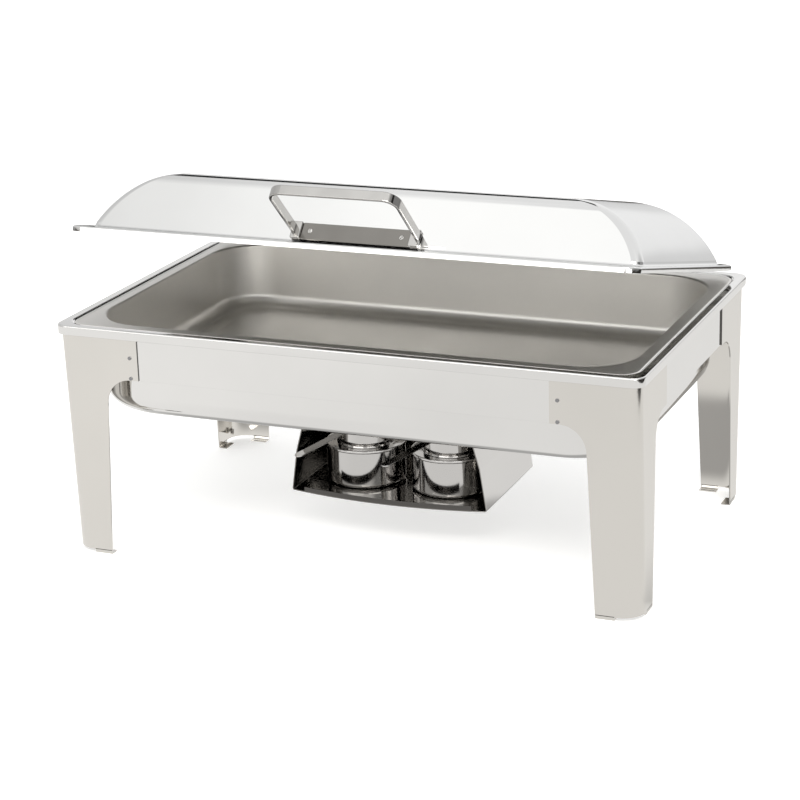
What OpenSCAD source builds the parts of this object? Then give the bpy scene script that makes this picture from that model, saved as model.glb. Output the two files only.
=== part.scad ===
// Rectangular chafing dish food warmer with a rear-hinged lid and two fuel burners.
// Millimetres. X runs along the long side, the front faces -Y, Z = 0 is the surface it stands on.

/* [Stand] */
// Overall length of the rim, end to end
frame_w = 550; // [450:1:670]
// Overall depth of the rim, front to back
frame_d = 343; // [285:1:420]
// Height of the rim's top above the table
frame_h = 218; // [196:1:270]
// Height of the turned-down outer lip of the rim
lip_h = 9; // [6:0.5:14]
// How far the lip stands out from the legs' outer faces
lip_overhang = 3.2; // [2.5:0.1:5]
// Height of the apron, from the rim's top to its lower edge
apron_h = 47; // [38:1:60]
// Width of the flat strip along the top of the rim
rim_strip_w = 8; // [6.5:0.1:10]
// Corner radius of the rim, seen from above
rim_corner_r = 11; // [8:0.5:16]
// Sheet thickness of the rim and apron
frame_t = 1; // [0.8:0.1:1.4]

/* [Legs] */
// Sheet thickness of a leg
leg_t = 1.2; // [1:0.1:1.6]
// Width of a leg's flange where it is fixed to the apron
leg_flange_w = 78.5; // [72:0.5:90]
// Width of a leg's flange just below the apron
leg_neck_w = 46; // [40:0.5:52]
// Width of a leg's flange at the foot
leg_foot_w = 39; // [34:0.5:44]
// Radius of the hollow curve from the apron into the leg
leg_fillet_r = 24; // [16:1:25]
// Outer corner radius of a leg at the rim
leg_corner_top_r = 9; // [7:0.5:13]
// Outer corner radius of a leg at the foot
leg_corner_foot_r = 20; // [14:0.5:24]
// Width of the folded foot tab at each flange's free edge
tab_w = 17; // [12:0.5:20]
// How far a foot tab is folded inwards
tab_d = 9; // [6:0.5:12]
// Head diameter of the small leg rivets
rivet_head_d = 3.4; // [2.6:0.1:5]
// Distance of the leg rivets from the flange's free edge
rivet_edge = 7.4; // [5:0.1:12]

/* [Pans] */
// Width of the flat flange of both pans
pan_flange_w = 12.7; // [10:0.1:15]
// Gap between the pans' flanges and the rim
groove_w = 1.8; // [1.5:0.1:3]
// Sheet thickness of both pans
pan_t = 0.8; // [0.7:0.1:1]
// Depth of the food pan
food_pan_depth = 64; // [40:1:72]
// Vertical corner radius of the food pan's opening
pan_corner_r = 48; // [40:1:55]
// Bottom edge radius of the food pan
food_pan_edge_r = 13; // [8:0.5:18]
// Depth of the water pan
water_pan_depth = 86; // [78:1:98]
// Bottom edge radius of the water pan
water_pan_edge_r = 20; // [14:0.5:24]
// Gap between the two pans' walls
pan_gap = 1.6; // [1:0.1:2.5]

/* [Lid] */
// Height of the lid's turned-down edge
lid_lip_h = 5.2; // [4:0.1:8]
// Distance of the lid's edge inside the pan flange's edge
lid_inset = 0.8; // [0.6:0.1:2]
// Flat flange in front of and behind the dome
lid_front_flange_w = 31.9; // [26:0.1:36]
// Flat flange outside the dome's two ends
lid_end_flange_w = 5.6; // [4:0.1:9]
// Height of the dome above the flange
dome_h = 52.5; // [48:0.5:70]
// Radius of the dome's curved ends
dome_end_r = 81; // [76:1:110]
// Lean of the front and back panels from upright, in degrees
panel_lean = 30; // [22:1:34]
// Radius between the sloping panels and the dome's top
dome_edge_r = 20; // [10:0.5:24]
// Sheet thickness of the lid
lid_t = 1; // [0.8:0.1:1.4]
// Corner radius of the lid's flange
lid_corner_r = 14; // [10:0.5:20]
// Opening angle of the lid at rest, in degrees
lid_angle = 14; // [6:1:30]

/* [Lid handle] */
// Length of the handle, outside its two arms
handle_w = 120; // [96:1:150]
// Reach of the arms from the lid to the grip
handle_reach = 67; // [50:1:76]
// Rise of the arms above the lid's flange plane, in degrees
handle_rise = 29; // [24:1:40]
// Width of the handle's flat bar
handle_bar_w = 9; // [7:0.5:12]
// Thickness of the handle's flat bar
handle_bar_t = 3; // [2.4:0.1:4]
// Outer bend radius of the handle's two corners
handle_bend_r = 14; // [10:0.5:18]
// Height of the handle's base plate, along the panel
base_plate_h = 18; // [14:0.5:22]
// Thickness of the handle's base plate
base_plate_t = 1.5; // [1.2:0.1:2.5]

/* [Hinges] */
// Distance of each hinge from the middle
hinge_x = 170; // [120:1:190]
// Distance of the hinge axis behind the rim
hinge_back = 12.5; // [12:0.5:18]
// Height of the hinge axis above the rim's top
hinge_up = 10; // [9:0.5:14]
// Radius of the hinge pin
pin_r = 2.5; // [2:0.1:3]
// Running clearance of the hinge pin in its bores, on the radius
pin_clearance = 0.06; // [0.03:0.01:0.1]
// Thickness of a hinge leaf's web
web_t = 3; // [2.4:0.1:4]
// Thickness of a bracket's ear
ear_t = 2; // [1.6:0.1:3]
// Thickness of a friction washer
washer_t = 1.2; // [0.8:0.1:1.6]

/* [Burner tray] */
// Height of the tray's underside above the table
tray_z = 42; // [30:1:50]
// Width of the tray at its floor
tray_w = 194; // [190:1:230]
// Width of the tray where its walls fold inwards
tray_fold_w = 182; // [178:1:220]
// Height of the fold above the tray's underside
tray_fold_h = 40; // [36:1:46]
// Width of the tray between its top edges
tray_top_w = 157; // [150:1:164]
// Depth of the tray, from its front corners to its back
tray_d = 126; // [122:1:150]
// How far the tray's front edge bows forwards
tray_bow = 11; // [6:0.5:14]
// Sheet thickness of the tray
tray_t = 1; // [0.8:0.1:1.4]
// Width of the sliding flanges along the tray's top
tray_flange_w = 10; // [8:0.5:12]

/* [Burners] */
// Outside radius of a burner cup
cup_r = 37.5; // [32:0.5:39]
// Height of a burner cup
cup_h = 38; // [32:0.5:44]
// Distance of each burner from the middle
burner_x = 43; // [42:0.5:44]
// Distance of the burners in front of the pan's middle
burner_forward = 10; // [6:0.5:12]
// Sheet thickness of the burners
cup_t = 0.8; // [0.6:0.1:1.2]
// Outside radius of the burner's raised neck
neck_r = 27; // [23:0.5:29]
// Height of the raised neck above the cup's rim
neck_h = 13; // [10:0.5:15]
// Reach of the shutter's lever from the burner's axis
lever_reach = 89; // [80:1:92]
// Width of the lever
lever_w = 9; // [7:0.5:11]
// Direction of the lever at rest, in degrees to the left of straight ahead
lever_turn = 23; // [16:1:26]

/* [Hidden] */
$fn = 96;

polished = [0.86, 0.86, 0.85];
satin = [0.72, 0.71, 0.69];
dark_mirror = [0.55, 0.55, 0.55];
cut = 1;

// Stand: half sizes, measured from the centre lines.
rim_x = frame_w / 2;
rim_y = frame_d / 2;
leg_x = rim_x - lip_overhang;
leg_y = rim_y - lip_overhang;
apron_x = leg_x - leg_t;
apron_y = leg_y - leg_t;
leg_top_z = frame_h - lip_h;
apron_z = frame_h - apron_h;
step_x = rim_x - rim_strip_w;
step_y = rim_y - rim_strip_w;
rivet_drops = [26, 45];
rivet_head_h = 0.7;
foot_gap = 3.5;

// Pans: the flanges lie on each other, one millimetre below the rim's top.
flange_x = step_x - groove_w;
flange_y = step_y - groove_w;
open_x = flange_x - pan_flange_w;
open_y = flange_y - pan_flange_w;
flange_drop = 1;
stack_gap = 0.2;
food_flange_z = frame_h - flange_drop - pan_t;
water_flange_z = food_flange_z - stack_gap - pan_t;
ledge_z = water_flange_z - stack_gap - frame_t;
flange_corner_r = 16;
water_x = open_x + 2 * pan_t + pan_gap;
water_y = open_y + 2 * pan_t + pan_gap;
water_z = water_flange_z + pan_t - water_pan_depth;
ledge_clearance = 1.2;

// Lid, drawn closed and then turned about the hinge axis.
seat_gap = 0.3;
lid_x = flange_x - lid_inset;
lid_y = flange_y - lid_inset;
lid_z = food_flange_z + pan_t + seat_gap;
lid_top_z = lid_z + lid_lip_h;
dome_x = lid_x - lid_end_flange_w;
dome_y = lid_y - lid_front_flange_w;
dome_top_z = lid_top_z + dome_h;
axis_y = rim_y + hinge_back;
axis_z = frame_h + hinge_up;

// Handle: the arms start where the base plate ends.
plate_gap = 0.1;
arm_root = base_plate_h - handle_bar_w / 2;
arm_y = -dome_y + arm_root * sin(panel_lean) - handle_bar_w / 2;
arm_z = lid_top_z + arm_root * cos(panel_lean);
foot_tab_w = 9;
foot_tab_t = 4;
panel_lift = 1.5;
foot_tab_z = (base_plate_h + panel_lift) / 2;
part_gap = 0.1;
stud_r = 2;
stud_clearance = 0.2;
stud_cut = 10;
stud_back = 4;
stud_in = 8;
stud_x = handle_w / 2 - foot_tab_w - stud_in;
stud_up = base_plate_h / 2 + 1;
cap_nut_r = 3.8;
cap_nut_h = 3.2;
cap_end_r = 3.2;
cap_end_h = 2;
arm_overlap = 3;

// Hinge stack along X.
side_gap = 0.1;
washer_inset = 1;
washer_in = web_t / 2 + side_gap;
ear_in = washer_in + washer_t;
ear_out = ear_in + ear_t;
bore_r = pin_r + pin_clearance;
boss_wall = 5;
boss_r = pin_r + boss_wall;
bracket_w = 44;
bracket_t = 1.5;
bracket_z = apron_z + 6;
bracket_top_z = leg_top_z - 3;
fixing_r = 1.6;
fixing_head_r = 3.2;
fixing_edge = 7;
fixing_cut = 8;
pin_tail = 3.5;
pin_head_t = 2;
pin_head_wall = 2.2;
clip_wall = 2;
clip_t = 1;
leaf_pad_w = 44;
leaf_pad_h = 22;
leaf_pad_t = 1.5;
leaf_pad_foot = 2;
web_lift = 0.6;
web_inset = 0.5;
web_back = 2;
ear_foot = 5;
ear_back = 1;

// Tray and rails.
tray_front = -tray_d / 2;
tray_fold_z = tray_z + tray_fold_h;
rail_gap = 0.3;
rail_t = 1;
rail_lip_w = 8;
rail_drop = 4.3;
tray_flange_z = water_z - rail_drop;
rail_side_gap = 1.5;
rail_x = tray_top_w / 2 + tray_flange_w + rail_side_gap;
tray_lip_h = 5;
tray_lip_end = 14;
tray_back_drop = 14;
tray_back_inset = 0.5;
tray_lip_inset = 0.2;
rail_short = 6;

// Burners.
burner_z = tray_z + tray_t;
cup_top_z = burner_z + cup_h;
neck_top_z = cup_top_z + neck_h;
shutter_gap = 0.3;
shutter_t = 0.9;
shutter_z = neck_top_z + shutter_gap;
rivet_r = 2;
rivet_bore_r = 2.05;
rivet_under = 1;
rivet_play = 0.3;
rivet_cap_r = 3.8;
rivet_cap_ball = 4.8;
rivet_cap_sink = 3;
window_in_r = 7;
window_rim = 6;
window_out_r = neck_r - window_rim;
window_angle = 40;
window_count = 4;
lever_drop = 8;
lever_knee = neck_r + 2;
lever_root = neck_r - 4;
shutter_rim = 1;
cup_edge_r = 5;
shoulder_drop = 2;
top_fit = 0.2;

// Half the amount by which the hinges reach behind the rim: it centres the whole object.
mid_y = (hinge_back + boss_r) / 2;

function sides() = [-1, 1];

// Moves a sub-part so that the whole object's bottom centre is the origin.
module placed() {
  translate([0, -mid_y, 0])
    children();
}

// Flat plate with rounded corners, half sizes x and y, from z up by h.
module rounded_plate(x, y, r, z, h) {
  translate([0, 0, z])
    linear_extrude(h)
      union() {
        square([2 * x - 2 * r, 2 * y], center = true);
        square([2 * x, 2 * y - 2 * r], center = true);
        for (sx = sides(), sy = sides())
          translate([sx * (x - r), sy * (y - r)])
            circle(r);
      }
}

// Upright ring between two rounded outlines a distance w apart.
module rounded_ring(x, y, r, w, z, h) {
  difference() {
    rounded_plate(x, y, r, z, h);
    rounded_plate(x - w, y - w, max(r - w, 0.5), z - cut, h + 2 * cut);
  }
}

// Cross-section of half a pan: a wall with a rounded bottom edge.
module edge_profile(reach, edge_r, h) {
  translate([0, edge_r])
    square([reach, h - edge_r]);
  square([reach - edge_r, edge_r + cut / 2]);
  translate([reach - edge_r, edge_r])
    circle(edge_r);
}

// Solid block with upright corner radius and rounded bottom edges.
module pan_block(x, y, corner_r, edge_r, z, h) {
  translate([0, 0, z])
    union() {
      for (sx = sides(), sy = sides())
        translate([sx * (x - corner_r), sy * (y - corner_r), 0])
          rotate_extrude()
            intersection() {
              edge_profile(corner_r, edge_r, h);
              square([corner_r + cut, h + cut]);
            }
      for (turn = [0, 180]) {
        rotate([0, 0, turn])
          translate([0, y - corner_r, 0])
            rotate([90, 0, 90])
              linear_extrude(2 * (x - corner_r), center = true)
                edge_profile(corner_r, edge_r, h);
        rotate([0, 0, turn])
          translate([x - corner_r, 0, 0])
            rotate([90, 0, 0])
              linear_extrude(2 * (y - corner_r), center = true)
                edge_profile(corner_r, edge_r, h);
      }
      translate([corner_r - x, corner_r - y, 0])
        cube([2 * (x - corner_r), 2 * (y - corner_r), h]);
    }
}

// Drawn pan with a flat flange; x and y are the inner half sizes of its opening.
module pan(x, y, corner_r, edge_r, flange_z, depth) {
  bottom_z = flange_z + pan_t - depth;
  difference() {
    union() {
      rounded_plate(flange_x, flange_y, flange_corner_r, flange_z, pan_t);
      pan_block(x + pan_t, y + pan_t, corner_r + pan_t, edge_r + pan_t, bottom_z, depth);
    }
    pan_block(x, y, corner_r, edge_r, bottom_z + pan_t, depth + cut);
  }
}

// Dome-headed fixing along +Y: the shank from the origin, the head outside it.
module fixing(shank_r, shank_l, head_r) {
  rotate([-90, 0, 0])
    union() {
      translate([0, 0, -shank_l])
        cylinder(r = shank_r, h = shank_l + 0.2);
      intersection() {
        translate([0, 0, -head_r])
          sphere(head_r * sqrt(2));
        cylinder(r = head_r, h = head_r);
      }
    }
}

module rim_frame() {
  placed() color(polished)
    union() {
      rounded_ring(rim_x, rim_y, rim_corner_r, lip_overhang + leg_t, frame_h - lip_h, lip_h);
      rounded_ring(rim_x, rim_y, rim_corner_r, rim_strip_w + frame_t, frame_h - frame_t, frame_t);
      rounded_ring(step_x, step_y, flange_corner_r + groove_w, frame_t, ledge_z, frame_h - ledge_z);
      difference() {
        rounded_plate(step_x, step_y, flange_corner_r + groove_w, ledge_z, frame_t);
        rounded_plate(water_x + ledge_clearance, water_y + ledge_clearance, pan_corner_r,
                      ledge_z - cut, frame_t + 2 * cut);
      }
      rounded_ring(apron_x, apron_y, rim_corner_r, frame_t, apron_z, apron_h - frame_t / 2);
    }
}

// Outline of one leg flange, from the corner outwards, on its face.
module leg_face() {
  arc_x = leg_neck_w + leg_fillet_r;
  arc_z = apron_z - leg_fillet_r;
  tab_u = leg_foot_w - tab_w;
  difference() {
    union() {
      polygon([
        [0, foot_gap],
        [tab_u, foot_gap],
        [tab_u, 0],
        [leg_foot_w, 0],
        [leg_neck_w, arc_z],
        [0, arc_z]
      ]);
      translate([0, arc_z - cut])
        square([arc_x, leg_fillet_r + cut]);
      translate([0, apron_z])
        square([leg_flange_w, leg_top_z - apron_z]);
    }
    translate([arc_x, arc_z])
      circle(leg_fillet_r);
    translate([leg_neck_w, arc_z - 2 * cut])
      square([leg_flange_w, 2 * cut]);
  }
}

// Corner block whose upright edge is rounded more at the foot than at the top.
module leg_corner(inset) {
  reach = leg_flange_w + 2 * cut;
  hull() {
    for (end = [[-cut * inset / leg_t, leg_corner_foot_r], [leg_top_z, leg_corner_top_r]]) {
      r = end[1] - inset;
      translate([r + inset, r + inset, end[0]])
        cylinder(r = r, h = 0.01);
      translate([inset, reach, end[0]])
        cube([1, 1, 0.01]);
      translate([reach, inset, end[0]])
        cube([1, 1, 0.01]);
      translate([reach, reach, end[0]])
        cube([1, 1, 0.01]);
    }
  }
}

// One leg, with its corner at the origin and its flanges along +X and +Y.
module leg() {
  union() {
    intersection() {
      difference() {
        leg_corner(0);
        leg_corner(leg_t);
      }
      union() {
        translate([0, leg_corner_foot_r, 0])
          rotate([90, 0, 0])
            linear_extrude(2 * leg_corner_foot_r)
              leg_face();
        rotate([90, 0, 90])
          linear_extrude(leg_corner_foot_r)
            leg_face();
      }
    }
    for (flip = [0, 1])
      mirror([flip, -flip, 0])
        translate([leg_foot_w - tab_w, leg_t / 2, 0])
          cube([tab_w, tab_d, leg_t]);
  }
}

module placed_leg(side, end) {
  placed() color(polished)
    translate([side * leg_x, end * leg_y, 0])
      mirror([side > 0 ? 1 : 0, 0, 0])
        mirror([0, end > 0 ? 1 : 0, 0])
          leg();
}

module leg_rivets() {
  placed() color(satin)
    for (side = sides(), end = sides(), drop = rivet_drops)
      translate([side * (leg_x - leg_flange_w + rivet_edge), end * (leg_y + rivet_head_h / 2),
                 frame_h - drop])
        rotate([90, 0, 0])
          cylinder(d = rivet_head_d, h = rivet_head_h, center = true);
}

module water_pan() {
  placed() color(polished)
    pan(water_x - pan_t, water_y - pan_t, pan_corner_r + pan_gap + pan_t, water_pan_edge_r,
        water_flange_z, water_pan_depth);
}

module food_pan() {
  placed() color(satin)
    pan(open_x, open_y, pan_corner_r, food_pan_edge_r, food_flange_z, food_pan_depth);
}

// Z-shaped rail under the water pan: the right-hand one, carrying the tray's flange.
module tray_rail(side) {
  rail_l = tray_d - rail_short;
  lip_z = tray_flange_z - rail_gap - rail_t;
  placed() color(polished)
    mirror([side > 0 ? 0 : 1, 0, 0])
      translate([0, -rail_l / 2, 0])
        union() {
          translate([rail_x, 0, lip_z])
            cube([rail_t, rail_l, water_z - lip_z]);
          translate([rail_x - rail_lip_w, 0, lip_z])
            cube([rail_lip_w + rail_t, rail_l, rail_t]);
          translate([rail_x, 0, water_z - rail_t])
            cube([rail_lip_w + rail_t, rail_l, rail_t]);
        }
}

// Turns a shape drawn on the closed lid into the lid's resting pose.
module on_lid() {
  translate([0, axis_y, axis_z])
    rotate([-lid_angle, 0, 0])
      translate([0, -axis_y, -axis_z])
        children();
}

// Solid dome, from the flange up, shrunk by inset on every face.
module dome(inset) {
  r = dome_end_r - inset;
  top = dome_top_z - inset;
  base = lid_top_z - (inset > 0 ? 2 * lid_t : 0);
  rise = top - lid_top_z;
  arc_x = dome_x - sqrt(pow(dome_end_r, 2) - pow(dome_end_r - dome_h, 2));
  edge = dome_edge_r - inset;
  side_y = dome_y - inset / cos(panel_lean);
  top_y = side_y - rise * tan(panel_lean);
  tangent = edge * tan((90 - panel_lean) / 2);
  edge_steps = 6;
  intersection() {
    rotate([90, 0, 0])
      linear_extrude(4 * dome_y, center = true)
        intersection() {
          union() {
            translate([-arc_x, base])
              square([2 * arc_x, top - base]);
            for (side = sides())
              translate([side * arc_x, top - r])
                circle(r);
          }
          translate([-2 * dome_x, base])
            square([4 * dome_x, top - base]);
        }
    rotate([90, 0, 90])
      linear_extrude(4 * dome_x, center = true)
        for (side = sides())
          polygon([
            [-side, base],
            [side * (side_y + (lid_top_z - base) * tan(panel_lean)), base],
            for (k = [0 : edge_steps])
              let (turn = panel_lean + k * (90 - panel_lean) / edge_steps)
                [side * (top_y - tangent + edge * cos(turn)), top - edge + edge * sin(turn)],
            [-side, top]
          ]);
  }
}

// Places a shape on the front panel: X along it, Y out of it, Z up it, from the panel's foot.
module on_panel(end) {
  mirror([0, end > 0 ? 1 : 0, 0])
    translate([0, -dome_y, lid_top_z])
      rotate([-panel_lean, 0, 0])
        children();
}

module lid_cover() {
  placed() color(polished)
    on_lid()
      difference() {
        union() {
          rounded_ring(lid_x, lid_y, lid_corner_r, lid_t, lid_z, lid_lip_h);
          rounded_plate(lid_x, lid_y, lid_corner_r, lid_top_z - lid_t, lid_t);
          dome(0);
        }
        dome(lid_t);
        for (side = sides())
          on_panel(-1)
            translate([side * stud_x, 0, stud_up])
              rotate([90, 0, 0])
                cylinder(r = stud_r + stud_clearance, h = stud_cut, center = true);
      }
}

module handle_base_plate() {
  half = handle_w / 2 - foot_tab_w - part_gap;
  placed() color(satin)
    on_lid()
      on_panel(-1)
        difference() {
          translate([-half, -plate_gap - base_plate_t, panel_lift])
            cube([2 * half, base_plate_t, base_plate_h - panel_lift]);
          for (side = sides())
            translate([side * stud_x, 0, stud_up])
              rotate([90, 0, 0])
                cylinder(r = stud_r, h = stud_cut, center = true);
        }
}

// Flat bar on edge: two arms and the grip, bent at two round corners, on two upright foot tabs.
module lid_handle() {
  half = handle_w / 2;
  straight = handle_reach - handle_bend_r;
  placed() color(polished)
    on_lid()
      union() {
        translate([0, arm_y, arm_z])
          rotate([-handle_rise, 0, 0])
            union() {
              for (side = sides()) {
                translate([side * (half - handle_bar_t / 2), (arm_overlap - straight) / 2, 0])
                  cube([handle_bar_t, straight + arm_overlap, handle_bar_w], center = true);
                translate([side * (half - handle_bend_r), -straight, 0])
                  intersection() {
                    difference() {
                      cylinder(r = handle_bend_r, h = handle_bar_w, center = true);
                      cylinder(r = handle_bend_r - handle_bar_t, h = handle_bar_w + cut, center = true);
                    }
                    translate([side * handle_bend_r, -handle_bend_r, 0])
                      cube([2 * handle_bend_r, 2 * handle_bend_r, handle_bar_w + cut], center = true);
                  }
              }
              translate([0, handle_bar_t / 2 - handle_reach, 0])
                cube([2 * (half - handle_bend_r), handle_bar_t, handle_bar_w], center = true);
            }
        for (side = sides())
          on_panel(-1)
            translate([side * (half - foot_tab_w / 2), -plate_gap - foot_tab_t / 2, foot_tab_z])
              cube([foot_tab_w, foot_tab_t, base_plate_h - panel_lift], center = true);
      }
}

module handle_studs() {
  placed() color(satin)
    on_lid()
      for (side = sides())
        on_panel(-1)
          translate([side * stud_x, stud_back, stud_up])
            rotate([90, 0, 0])
              cylinder(r = stud_r, h = stud_back + plate_gap + base_plate_t);
}

module handle_cap_nuts() {
  placed() color(polished)
    on_lid()
      for (side = sides())
        on_panel(-1)
          translate([side * stud_x, lid_t + part_gap, stud_up])
            difference() {
              rotate([-90, 0, 0])
                union() {
                  cylinder(r = cap_nut_r, h = cap_nut_h, $fn = 6);
                  translate([0, 0, cap_nut_h])
                    cylinder(r = cap_end_r, h = cap_end_h);
                }
              rotate([90, 0, 0])
                translate([0, 0, -stud_back])
                  cylinder(r = stud_r, h = stud_back + cut);
            }
}

// Lid half of a hinge: a pad on the back panel and a web that reaches the pin.
module lid_hinge_leaf(side) {
  web_top_y = dome_y - (leaf_pad_h - leaf_pad_foot) * sin(panel_lean) + 2 * web_inset;
  placed() color(polished)
    on_lid()
      translate([side * hinge_x, 0, 0])
        difference() {
          union() {
            on_panel(1)
              translate([-leaf_pad_w / 2, -plate_gap - leaf_pad_t, leaf_pad_foot])
                cube([leaf_pad_w, leaf_pad_t, leaf_pad_h]);
            rotate([90, 0, 90])
              linear_extrude(web_t, center = true)
                difference() {
                  union() {
                    polygon([
                      [dome_y + web_inset, lid_top_z + web_lift],
                      [lid_y + web_back, lid_top_z + web_lift],
                      [axis_y, axis_z - boss_r],
                      [axis_y, axis_z + boss_r],
                      [web_top_y, lid_top_z + leaf_pad_h * cos(panel_lean)]
                    ]);
                    translate([axis_y, axis_z])
                      circle(boss_r);
                  }
                  translate([axis_y, axis_z])
                    circle(bore_r);
                }
          }
          for (hole = sides())
            on_panel(1)
              translate([hole * (leaf_pad_w / 2 - fixing_edge), 0, leaf_pad_foot + leaf_pad_h / 2])
                rotate([90, 0, 0])
                  cylinder(r = fixing_r, h = fixing_cut, center = true);
        }
}

module leaf_rivets() {
  placed() color(satin)
    on_lid()
      for (side = sides(), hole = sides())
        translate([side * hinge_x, 0, 0])
          on_panel(1)
            translate([hole * (leaf_pad_w / 2 - fixing_edge), -plate_gap - leaf_pad_t,
                       leaf_pad_foot + leaf_pad_h / 2])
              rotate([0, 0, 180])
                fixing(fixing_r, leaf_pad_t, fixing_head_r);
}

// Stand half of a hinge: a plate on the back apron with two ears round the leaf's web.
module hinge_bracket(side) {
  back = apron_y + bracket_t;
  placed() color(polished)
    translate([side * hinge_x, 0, 0])
      difference() {
        union() {
          translate([-bracket_w / 2, apron_y, bracket_z])
            cube([bracket_w, bracket_t, bracket_top_z - bracket_z]);
          for (ear = sides())
            translate([ear * (ear_in + ear_t / 2), 0, 0])
              rotate([90, 0, 90])
                linear_extrude(ear_t, center = true)
                  union() {
                    polygon([
                      [back - bracket_t / 2, bracket_z],
                      [back + ear_foot, bracket_z],
                      [axis_y + boss_r, axis_z],
                      [axis_y - boss_r, axis_z],
                      [rim_y + ear_back, axis_z - boss_r],
                      [rim_y + ear_back, leg_top_z - ear_back],
                      [back, bracket_top_z],
                      [back - bracket_t / 2, bracket_top_z]
                    ]);
                    translate([axis_y, axis_z])
                      circle(boss_r);
                  }
        }
        translate([0, axis_y, axis_z])
          rotate([0, 90, 0])
            cylinder(r = bore_r, h = bracket_w, center = true);
        for (hole = sides())
          translate([hole * (bracket_w / 2 - fixing_edge), 0, (bracket_z + bracket_top_z) / 2])
            rotate([90, 0, 0])
              cylinder(r = fixing_r, h = 4 * apron_y, center = true);
      }
}

module bracket_rivets() {
  placed() color(satin)
    for (side = sides(), hole = sides())
      translate([side * hinge_x + hole * (bracket_w / 2 - fixing_edge), apron_y + bracket_t,
                 (bracket_z + bracket_top_z) / 2])
        fixing(fixing_r, bracket_t, fixing_head_r);
}

module hinge_pin(side) {
  placed() color(satin)
    translate([side * hinge_x, axis_y, axis_z])
      rotate([0, side * 90, 0])
        union() {
          translate([0, 0, -ear_out - pin_tail])
            cylinder(r = pin_r, h = 2 * ear_out + pin_tail + pin_head_t);
          translate([0, 0, ear_out + part_gap / 2])
            cylinder(r = pin_r + pin_head_wall, h = pin_head_t);
        }
}

module pin_clips() {
  placed() color(dark_mirror)
    for (side = sides())
      translate([side * (hinge_x - ear_out - part_gap), axis_y, axis_z])
        rotate([0, -side * 90, 0])
          difference() {
            cylinder(r = pin_r + clip_wall, h = clip_t);
            translate([0, 0, -cut])
              cylinder(r = pin_r, h = clip_t + 2 * cut);
          }
}

module friction_washers() {
  placed() color(dark_mirror)
    for (side = sides(), face = sides())
      translate([side * hinge_x + face * (washer_in + washer_t / 2), axis_y, axis_z])
        rotate([0, 90, 0])
          difference() {
            cylinder(r = boss_r - washer_inset, h = washer_t, center = true);
            cylinder(r = bore_r, h = 3 * washer_t, center = true);
          }
}

// Tray outline seen from the front: floor, two folded walls and outward flanges, grown by offset.
module tray_section() {
  flange_z = tray_flange_z;
  for (side = sides())
    mirror([side > 0 ? 0 : 1, 0])
      polygon([
        [0, tray_z],
        [tray_w / 2, tray_z],
        [tray_fold_w / 2, tray_fold_z],
        [tray_top_w / 2, flange_z],
        [tray_top_w / 2 + tray_flange_w, flange_z],
        [tray_top_w / 2 + tray_flange_w, flange_z + tray_t],
        [tray_top_w / 2 - tray_t, flange_z + tray_t],
        [tray_fold_w / 2 - tray_t, tray_fold_z],
        [tray_w / 2 - tray_t, tray_z + tray_t],
        [0, tray_z + tray_t]
      ]);
}

// Big circle that the tray's front edge follows, shrunk by inset.
module bow_circle(inset) {
  bow_r = (pow(tray_w / 2, 2) + pow(tray_bow, 2)) / (2 * tray_bow);
  translate([0, tray_front - tray_bow + bow_r])
    circle(bow_r - inset);
}

// Half width of the tray's leaning upper walls at a height z.
function upper_wall_x(z) =
  tray_fold_w / 2 - (tray_fold_w - tray_top_w) / 2 * (z - tray_fold_z) / (tray_flange_z - tray_fold_z);

module burner_tray() {
  back_z = tray_flange_z - tray_back_drop;
  inner = tray_t / 2;
  placed() color(dark_mirror)
    union() {
      translate([0, tray_d / 2, 0])
        rotate([90, 0, 0])
          linear_extrude(tray_d)
            tray_section();
      translate([0, 0, tray_z])
        linear_extrude(tray_t)
          intersection() {
            bow_circle(0);
            translate([-tray_w / 2, tray_front - 2 * tray_bow])
              square([tray_w, 2 * tray_bow + cut]);
          }
      translate([0, 0, tray_z + tray_t / 2])
        linear_extrude(tray_lip_h)
          intersection() {
            difference() {
              bow_circle(tray_lip_inset);
              bow_circle(tray_lip_inset + tray_t);
            }
            translate([-tray_w / 2 + tray_lip_end, tray_front - 2 * tray_bow])
              square([tray_w - 2 * tray_lip_end, 2 * tray_bow]);
          }
      translate([0, tray_d / 2 - tray_back_inset, 0])
        rotate([90, 0, 0])
          linear_extrude(tray_t)
            polygon([
              [-tray_w / 2 + inner, tray_z + inner],
              [tray_w / 2 - inner, tray_z + inner],
              [tray_fold_w / 2 - inner, tray_fold_z],
              [upper_wall_x(back_z) - inner, back_z],
              [inner - upper_wall_x(back_z), back_z],
              [inner - tray_fold_w / 2, tray_fold_z]
            ]);
    }
}

module at_burner(side) {
  translate([side * burner_x, -burner_forward, 0])
    children();
}

module burner_cup(side) {
  placed() color(polished)
    at_burner(side)
      rotate_extrude()
        intersection() {
          union() {
            difference() {
              translate([0, burner_z])
                edge_profile(cup_r, cup_edge_r, cup_h);
              translate([0, burner_z + cup_t])
                edge_profile(cup_r - cup_t, cup_edge_r - cup_t, cup_h + cut);
            }
            translate([cup_r, cup_top_z - cup_t])
              circle(cup_t);
          }
          translate([0, burner_z])
            square([2 * cup_r, 2 * cup_h]);
        }
}

// Ring of equal windows, seen from above, turned by a starting angle.
module windows(start) {
  for (k = [0 : window_count - 1])
    rotate(start + k * 360 / window_count)
      intersection() {
        difference() {
          circle(window_out_r);
          circle(window_in_r);
        }
        polygon([
          [0, 0],
          [2 * neck_r * cos(window_angle / 2), -2 * neck_r * sin(window_angle / 2)],
          [2 * neck_r * cos(window_angle / 2), 2 * neck_r * sin(window_angle / 2)]
        ]);
      }
}

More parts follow.
